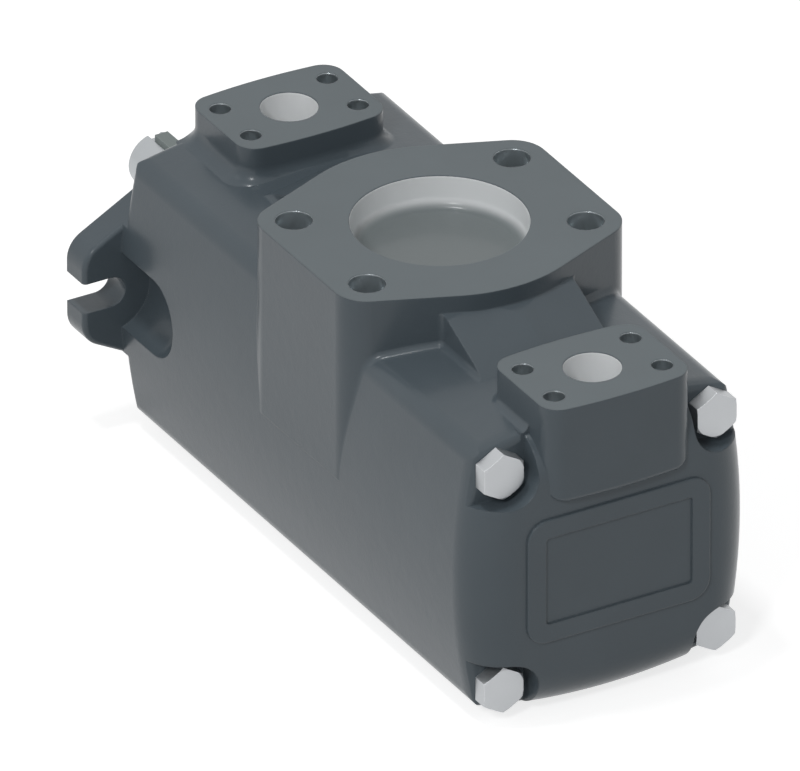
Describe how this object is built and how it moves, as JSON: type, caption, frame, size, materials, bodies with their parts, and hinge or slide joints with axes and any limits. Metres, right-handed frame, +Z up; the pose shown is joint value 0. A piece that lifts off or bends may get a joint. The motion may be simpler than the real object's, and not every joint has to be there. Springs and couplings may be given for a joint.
{
  "type": "hydraulic vane pump",
  "caption": "Tandem hydraulic vane pump with a slotted mounting flange and pilot, keyed shaft, large suction flange port and smaller pressure ports on top.",
  "frame": {"origin": "centre of the mounting flange's face, on the shaft's axis, where the pilot begins", "axes": "+X along the shaft from the mounting face to the rear cover, +Z up through the ports, +Y across"},
  "size_m": [0.3998, 0.1724, 0.1585],
  "materials": {
    "casting_paint": "satin blue-grey paint over an iron casting",
    "plated_steel": "zinc plated",
    "dark_steel": "blackened",
    "ground_steel": "ground",
    "key_steel": "drawn",
    "bearing_steel": "polished",
    "cage_brass": "machined",
    "seal_rubber": "matt"
  },
  "bodies": {
    "casing": {"mounting_cap": "casting_paint", "housing": "casting_paint", "end_cap": "casting_paint", "end_cap_bolts": "plated_steel", "mounting_cap_screws": "dark_steel", "front_cap_seal": "seal_rubber", "rear_cap_seal": "seal_rubber", "shaft_seal": "seal_rubber", "bearing_outer_ring": "bearing_steel", "bearing_circlip": "dark_steel", "rear_bush": "cage_brass", "front_port_plate": "ground_steel", "rear_port_plate": "ground_steel", "front_cam_ring": "ground_steel", "rear_cam_ring": "ground_steel", "front_pressure_plate": "ground_steel", "rear_pressure_plate": "ground_steel", "front_dowel_pins": "bearing_steel", "rear_dowel_pins": "bearing_steel", "front_cartridge_screws": "dark_steel", "rear_cartridge_screws": "dark_steel", "front_plate_ring": "seal_rubber", "rear_plate_ring": "seal_rubber"},
    "shaft_group": {"drive_shaft": "ground_steel", "shaft_key": "key_steel", "shaft_circlip": "dark_steel", "bearing_inner_ring": "bearing_steel", "front_rotor": "ground_steel", "rear_rotor": "ground_steel", "front_vanes": "bearing_steel", "rear_vanes": "bearing_steel", "front_vane_pins": "bearing_steel", "rear_vane_pins": "bearing_steel"},
    "ball_train": {"bearing_cage": "cage_brass", "bearing_balls": "bearing_steel"}
  },
  "joints": [
    {"name": "shaft_spin", "type": "hinge", "parent": "casing", "child": "shaft_group", "pos_m": [0, 0, 0], "axis": [1, 0, 0], "continuous": true},
    {"name": "bearing_cage_spin", "type": "hinge", "parent": "casing", "child": "ball_train", "pos_m": [0.003, 0, 0], "axis": [1, 0, 0], "continuous": true}
  ],
  "couplings": [
    {"joint": "bearing_cage_spin", "follows": "shaft_spin", "ratio": 0.39674}
  ]
}
